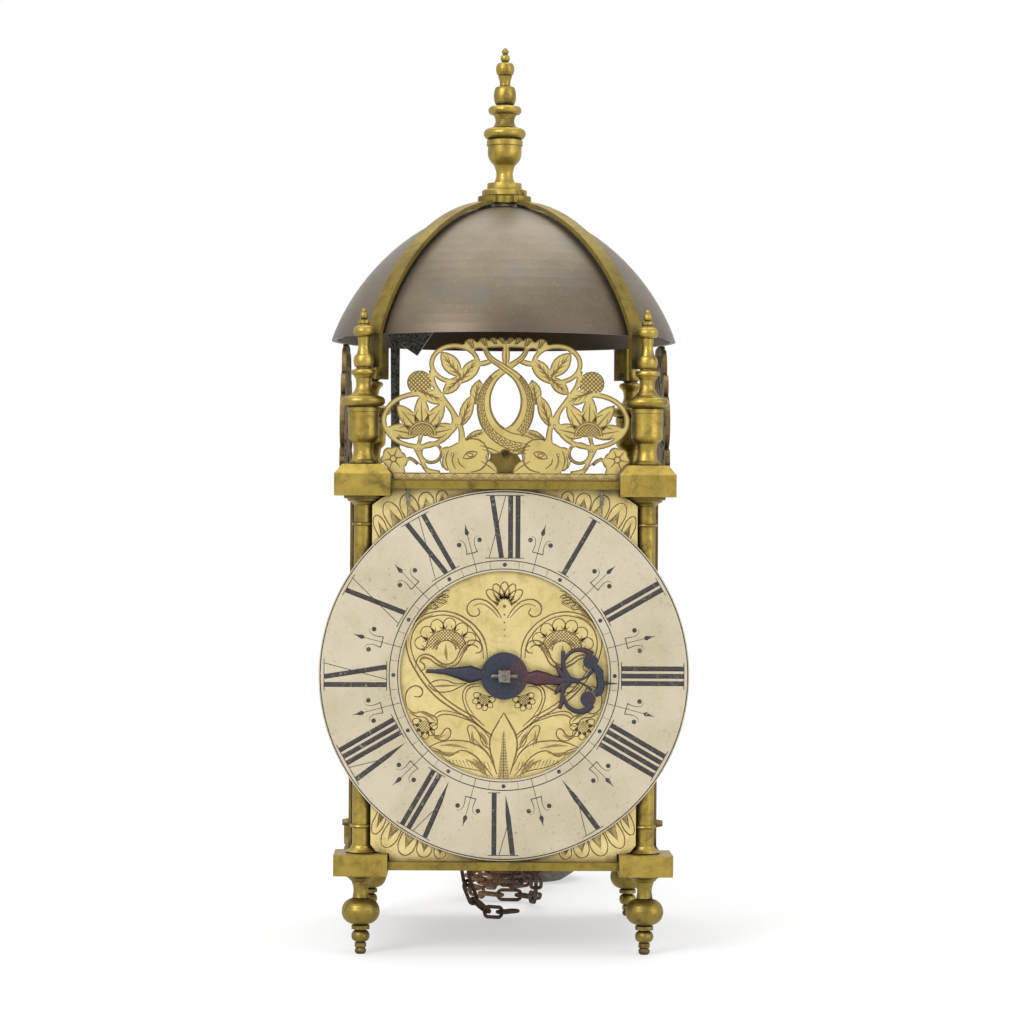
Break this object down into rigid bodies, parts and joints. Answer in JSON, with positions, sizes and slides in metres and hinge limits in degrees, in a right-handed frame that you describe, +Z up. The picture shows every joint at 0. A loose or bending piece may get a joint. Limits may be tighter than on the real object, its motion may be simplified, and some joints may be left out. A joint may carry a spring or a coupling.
{
  "type": "lantern clock",
  "caption": "Brass posted lantern clock with a bell in a strap frame, pierced frets, a single hand, doors, two wheel trains, a short pendulum, and a chain with its weight.",
  "frame": {"origin": "on the floor, under the middle of the clock frame and bell", "axes": "+Z up along the bell axis, front with the dial towards -Y, +X to the right seen from the front"},
  "size_m": [0.1588, 0.3054, 0.399],
  "materials": {
    "brass": "polished, handled brass",
    "old_brass": "darkened brass sheet",
    "silvered_brass": "silvered, slightly spotted",
    "bell_metal": "dark bronze with grey patina",
    "blued_steel": "blued steel",
    "iron": "dark forged iron",
    "rusty_iron": "rusty wrought iron",
    "dull_lead": "dull grey-brown metal"
  },
  "bodies": {
    "frame": {"chain": "rusty_iron", "weight": "dull_lead", "pillar_front_left": "brass", "pillar_front_right": "brass", "pillar_back_left": "brass", "pillar_back_right": "brass", "foot_front_left": "brass", "foot_front_right": "brass", "foot_back_left": "brass", "foot_back_right": "brass", "finial_front_left": "brass", "finial_front_right": "brass", "finial_back_left": "brass", "finial_back_right": "brass", "top_plate": "brass", "bottom_plate": "brass", "back_plate": "old_brass", "front_bar": "brass", "centre_bar": "brass", "back_bar": "brass", "bell": "bell_metal", "bell_frame": "brass", "bell_frame_pins": "iron", "bell_washer_and_nut": "silvered_brass", "top_finial": "brass", "fret_front": "brass", "fret_left": "brass", "fret_right": "brass", "fret_screws": "iron", "dial_plate": "brass", "chapter_ring": "silvered_brass", "dial_pins": "iron", "potence": "brass", "front_cock": "brass", "back_cock": "brass", "hammer_spring": "iron"},
    "hour": {"hour_wheel": "brass"},
    "hand": {"hand_arbor": "iron", "hour_hand": "blued_steel", "hand_pin": "iron"},
    "going_great": {"going_great_wheel": "brass", "going_sprocket": "brass"},
    "second": {"second_wheel": "brass"},
    "contrate": {"contrate_wheel": "brass"},
    "crown": {"crown_wheel": "brass"},
    "pendulum": {"verge": "iron", "pendulum_rod": "iron"},
    "bob": {"pendulum_bob": "brass"},
    "strike_great": {"strike_great_wheel": "brass", "strike_sprocket": "brass"},
    "hoop": {"hoop_wheel": "brass"},
    "warning": {"warning_wheel": "brass"},
    "fly": {"fly": "brass"},
    "count": {"count_wheel": "brass"},
    "detent": {"locking_detent": "iron"},
    "hammer": {"hammer": "iron"},
    "left_door": {"door_left": "old_brass", "door_left_knob": "brass"},
    "right_door": {"door_right": "old_brass", "door_right_knob": "brass"}
  },
  "joints": [
    {"name": "second_turn", "type": "hinge", "parent": "frame", "child": "second", "pos_m": [0, 0, 0.1266], "axis": [0, 1, 0], "continuous": true},
    {"name": "going_great_turn", "type": "hinge", "parent": "frame", "child": "going_great", "pos_m": [0, 0, 0.0888], "axis": [0, 1, 0], "continuous": true},
    {"name": "hour_turn", "type": "hinge", "parent": "frame", "child": "hour", "pos_m": [0, 0, 0.12], "axis": [0, 1, 0], "continuous": true},
    {"name": "contrate_turn", "type": "hinge", "parent": "frame", "child": "contrate", "pos_m": [0, 0, 0.1526], "axis": [0, 1, 0], "continuous": true},
    {"name": "crown_turn", "type": "hinge", "parent": "frame", "child": "crown", "pos_m": [0, -0.024, 0], "axis": [0, 0, 1], "continuous": true},
    {"name": "hand_set", "type": "hinge", "parent": "hour", "child": "hand", "pos_m": [0, 0, 0.12], "axis": [0, 1, 0], "continuous": true},
    {"name": "pendulum_swing", "type": "hinge", "parent": "frame", "child": "pendulum", "pos_m": [0, 0, 0.2153], "axis": [0, 1, 0], "range_deg": [-10, 10]},
    {"name": "bob_rating", "type": "slide", "parent": "pendulum", "child": "bob", "axis": [0, 0, 1], "range_m": [-0.004, 0.004]},
    {"name": "hoop_turn", "type": "hinge", "parent": "frame", "child": "hoop", "pos_m": [0, 0, 0.1266], "axis": [0, 1, 0], "continuous": true},
    {"name": "strike_great_turn", "type": "hinge", "parent": "frame", "child": "strike_great", "pos_m": [0, 0, 0.0888], "axis": [0, 1, 0], "continuous": true},
    {"name": "warning_turn", "type": "hinge", "parent": "frame", "child": "warning", "pos_m": [0, 0, 0.15495], "axis": [0, 1, 0], "continuous": true},
    {"name": "fly_turn", "type": "hinge", "parent": "frame", "child": "fly", "pos_m": [0, 0, 0.17455], "axis": [0, 1, 0], "continuous": true},
    {"name": "count_turn", "type": "hinge", "parent": "frame", "child": "count", "pos_m": [0, 0, 0.1168], "axis": [0, 1, 0], "continuous": true},
    {"name": "hammer_lift", "type": "hinge", "parent": "frame", "child": "hammer", "pos_m": [-0.048, 0, 0.11], "axis": [0, 1, 0], "range_deg": [-0.8, 12], "stiffness_Nm_per_rad": 0.3},
    {"name": "detent_lift", "type": "hinge", "parent": "frame", "child": "detent", "pos_m": [0.046, 0, 0.146], "axis": [0, 1, 0], "range_deg": [0, 8]},
    {"name": "left_door_swing", "type": "hinge", "parent": "frame", "child": "left_door", "pos_m": [-0.0663, 0.046, 0], "axis": [0, 0, 1], "range_deg": [-100, 0]},
    {"name": "right_door_swing", "type": "hinge", "parent": "frame", "child": "right_door", "pos_m": [0.0663, 0.046, 0], "axis": [0, 0, 1], "range_deg": [0, 100]}
  ],
  "couplings": [
    {"joint": "going_great_turn", "follows": "second_turn", "ratio": -0.125},
    {"joint": "hour_turn", "follows": "second_turn", "ratio": 0.010417},
    {"joint": "contrate_turn", "follows": "second_turn", "ratio": -6.4286},
    {"joint": "crown_turn", "follows": "second_turn", "ratio": -38.571},
    {"joint": "strike_great_turn", "follows": "hoop_turn", "ratio": -0.076923},
    {"joint": "warning_turn", "follows": "hoop_turn", "ratio": -8},
    {"joint": "fly_turn", "follows": "hoop_turn", "ratio": 56},
    {"joint": "count_turn", "follows": "hoop_turn", "ratio": 0.012821}
  ]
}
